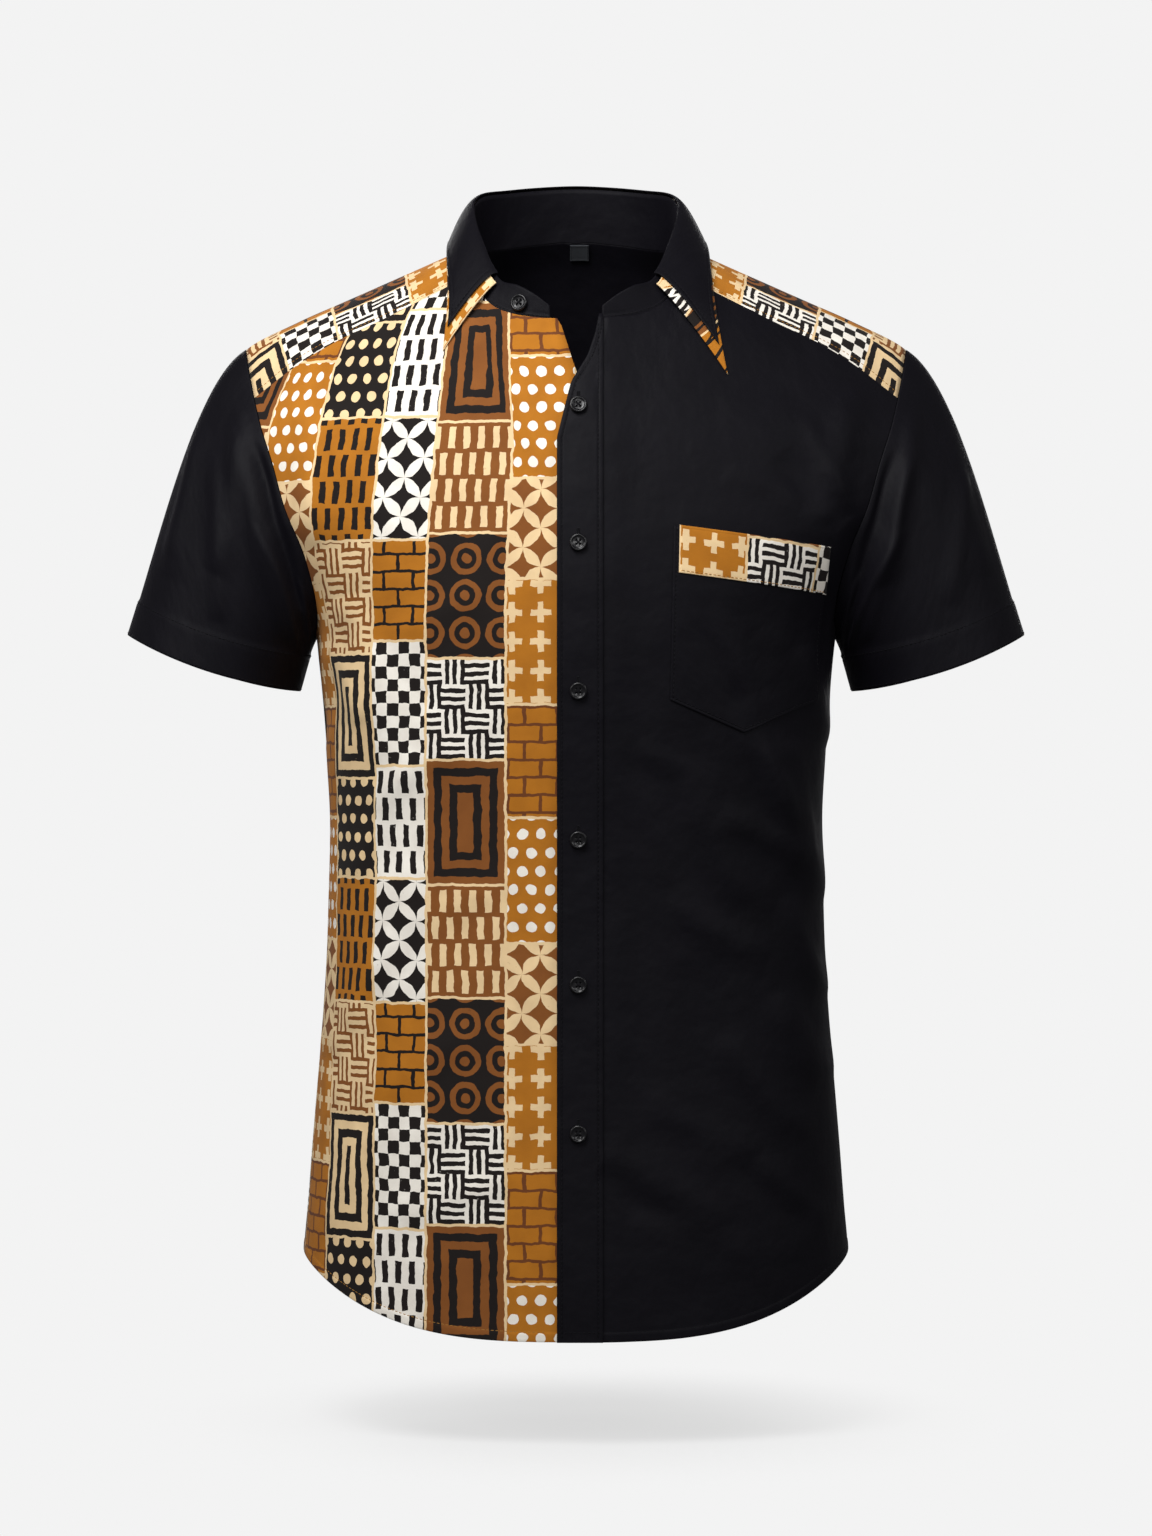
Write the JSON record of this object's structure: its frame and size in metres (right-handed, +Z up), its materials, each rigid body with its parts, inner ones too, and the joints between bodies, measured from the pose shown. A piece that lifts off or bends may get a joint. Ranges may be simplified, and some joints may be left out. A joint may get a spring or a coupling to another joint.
{
  "type": "short-sleeve shirt",
  "caption": "Short-sleeve button-front shirt with a turned-down collar, a patchwork-print front and shoulder strips, plain dark sleeves and a banded chest pocket, filled out as worn.",
  "frame": {"origin": "the middle of the neck opening, level with the shoulders where they meet the neck, where the wearer's neck and shoulders hold the shirt", "axes": "+Z up towards the wearer's head, +X towards the wearer's left, -Y out of the front"},
  "size_m": [0.6096, 0.2546, 0.7922],
  "materials": {
    "print_cotton": "printed plain-weave cotton, patchwork of small geometric tiles in black, brown, ochre and cream",
    "black_cotton": "plain-weave cotton, near black, matt",
    "button": "moulded black four-hole button, glossy",
    "label_cloth": "woven slate label, bare"
  },
  "bodies": {
    "root": {"front_right": "print_cotton", "front_left": "black_cotton", "placket": "black_cotton", "back": "black_cotton", "shoulder_right": "print_cotton", "shoulder_left": "print_cotton", "sleeve_right": "black_cotton", "sleeve_left": "black_cotton", "collar_stand": "black_cotton", "collar_leaf": "black_cotton", "collar_under": "print_cotton", "pocket": "black_cotton", "pocket_band": "print_cotton", "neck_label": "label_cloth", "button_1": "button", "button_2": "button", "button_3": "button", "button_4": "button", "button_5": "button", "button_6": "button", "collar_button": "button"}
  },
  "joints": []
}
